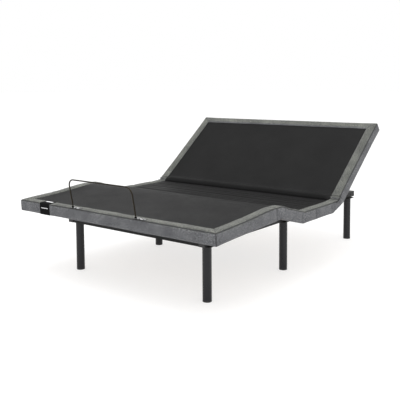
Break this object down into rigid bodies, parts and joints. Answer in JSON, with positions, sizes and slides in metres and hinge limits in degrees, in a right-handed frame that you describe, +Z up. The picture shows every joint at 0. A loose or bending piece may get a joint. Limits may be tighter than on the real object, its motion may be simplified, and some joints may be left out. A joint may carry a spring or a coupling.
{
  "type": "adjustable bed base",
  "caption": "Queen-size adjustable bed base: upholstered head, seat, thigh and calf sections on a steel frame with tubular legs, lift gear and a mattress retainer bar.",
  "frame": {"origin": "on the floor, under the centre of the bounding box at rest", "axes": "+X across the bed to its right as seen from the foot, +Y from foot to head, +Z up"},
  "size_m": [1.511, 2.0998, 0.8774],
  "materials": {
    "frame_black": "satin powder coat",
    "leg_black": "satin powder coat",
    "plywood": "bare sanded",
    "grey_fabric": "heather weave",
    "black_cloth": "fine plain weave",
    "zinc_steel": "zinc plated",
    "rod_chrome": "polished",
    "black_plastic": "fine texture",
    "white_nylon": "smooth",
    "rubber_black": "matt",
    "retainer_steel": "satin bronze coat",
    "tag_black": "woven tape"
  },
  "bodies": {
    "root": {"foot_side_rail_left": "frame_black", "foot_side_rail_right": "frame_black", "head_side_rail_left": "frame_black", "head_side_rail_right": "frame_black", "foot_cross_tube": "frame_black", "head_cross_tube": "frame_black", "middle_cross_tubes": "frame_black", "rail_end_caps": "black_plastic", "fold_joint_bolts": "zinc_steel", "leg_plates": "frame_black", "leg_pads": "rubber_black", "leg_foot_left": "leg_black", "leg_foot_right": "leg_black", "leg_middle_left": "leg_black", "leg_middle_right": "leg_black", "leg_head_left": "leg_black", "leg_head_right": "leg_black", "rest_bumpers": "rubber_black", "seat_timber_panel": "plywood", "seat_upholstered_edge": "grey_fabric", "seat_deck_cloth": "black_cloth", "seat_hinge_leaves": "zinc_steel", "lift_tube_bushes": "white_nylon", "head_actuator_body": "black_plastic", "foot_actuator_body": "black_plastic", "actuator_motors": "black_plastic", "actuator_brackets": "frame_black", "actuator_tail_pins": "zinc_steel", "control_box": "black_plastic", "power_supply": "black_plastic", "clipped_leads": "rubber_black"},
    "head_section": {"head_timber_panel": "plywood", "head_upholstered_edge": "grey_fabric", "head_deck_cloth": "black_cloth", "head_subframe": "frame_black", "head_hinge_leaf": "zinc_steel"},
    "head_lift": {"head_lift_tube": "frame_black", "head_lift_arms": "frame_black"},
    "head_links": {"head_lift_links": "frame_black"},
    "head_push_rod": {"head_actuator_rod": "rod_chrome"},
    "thigh_section": {"thigh_timber_panel": "plywood", "thigh_upholstered_edge": "grey_fabric", "thigh_deck_cloth": "black_cloth", "thigh_subframe": "frame_black", "thigh_hinge_leaves": "zinc_steel"},
    "thigh_lift": {"thigh_lift_tube": "frame_black", "thigh_lift_arms": "frame_black"},
    "thigh_links": {"thigh_lift_links": "frame_black"},
    "foot_push_rod": {"foot_actuator_rod": "rod_chrome"},
    "calf_section": {"calf_timber_panel": "plywood", "calf_upholstered_edge": "grey_fabric", "calf_deck_cloth": "black_cloth", "calf_subframe": "frame_black", "calf_hinge_leaf": "zinc_steel", "retainer_plates": "frame_black", "blank_tag": "tag_black"},
    "calf_support": {"calf_support_tube": "frame_black", "calf_support_arms": "frame_black"},
    "calf_rollers": {"calf_support_rollers": "white_nylon"},
    "retainer": {"retainer_bar": "retainer_steel"}
  },
  "joints": [
    {"name": "head_hinge", "type": "hinge", "parent": "root", "child": "head_section", "pos_m": [0, 0.25, 0.409], "axis": [1, 0, 0], "range_deg": [-37.5, 22.5]},
    {"name": "head_lift_turn", "type": "hinge", "parent": "root", "child": "head_lift", "pos_m": [0, 0.25, 0.329], "axis": [1, 0, 0], "range_deg": [-38, 23]},
    {"name": "head_link_turn", "type": "hinge", "parent": "head_lift", "child": "head_links", "pos_m": [0, 0.58317, 0.55188], "axis": [1, 0, 0], "range_deg": [-23, 38]},
    {"name": "head_rod_slide", "type": "slide", "parent": "root", "child": "head_push_rod", "axis": [0, 1, 0], "range_m": [-0.06, 0.04]},
    {"name": "thigh_hinge", "type": "hinge", "parent": "root", "child": "thigh_section", "pos_m": [0, -0.171, 0.409], "axis": [-1, 0, 0], "range_deg": [-15, 30]},
    {"name": "thigh_lift_turn", "type": "hinge", "parent": "root", "child": "thigh_lift", "pos_m": [0, -0.171, 0.329], "axis": [-1, 0, 0], "range_deg": [-16, 31]},
    {"name": "thigh_link_turn", "type": "hinge", "parent": "thigh_lift", "child": "thigh_links", "pos_m": [0, -0.3516, 0.35047], "axis": [-1, 0, 0], "range_deg": [-31, 16]},
    {"name": "foot_rod_slide", "type": "slide", "parent": "root", "child": "foot_push_rod", "axis": [0, -1, 0], "range_m": [-0.03, 0.05]},
    {"name": "knee_hinge", "type": "hinge", "parent": "thigh_section", "child": "calf_section", "pos_m": [0, -0.43258, 0.41801], "axis": [-1, 0, 0], "range_deg": [-37, 19]},
    {"name": "calf_support_turn", "type": "hinge", "parent": "root", "child": "calf_support", "pos_m": [0, -0.72, 0.328], "axis": [1, 0, 0], "range_deg": [-18, 36]},
    {"name": "calf_roller_spin", "type": "hinge", "parent": "calf_support", "child": "calf_rollers", "pos_m": [0, -0.52054, 0.42082], "axis": [1, 0, 0], "continuous": true},
    {"name": "retainer_lift", "type": "slide", "parent": "calf_section", "child": "retainer", "axis": [0, -0.0523, 0.9986], "range_m": [0, 0.1]}
  ],
  "couplings": [
    {"joint": "head_lift_turn", "follows": "head_hinge", "ratio": 1},
    {"joint": "head_link_turn", "follows": "head_hinge", "ratio": -1},
    {"joint": "head_rod_slide", "follows": "head_hinge", "m_per_rad": 0.0903},
    {"joint": "thigh_lift_turn", "follows": "thigh_hinge", "ratio": 1},
    {"joint": "thigh_link_turn", "follows": "thigh_hinge", "ratio": -1},
    {"joint": "foot_rod_slide", "follows": "thigh_hinge", "m_per_rad": 0.0876},
    {"joint": "knee_hinge", "follows": "thigh_hinge", "ratio": -1.2},
    {"joint": "calf_support_turn", "follows": "thigh_hinge", "ratio": 1.1815}
  ]
}
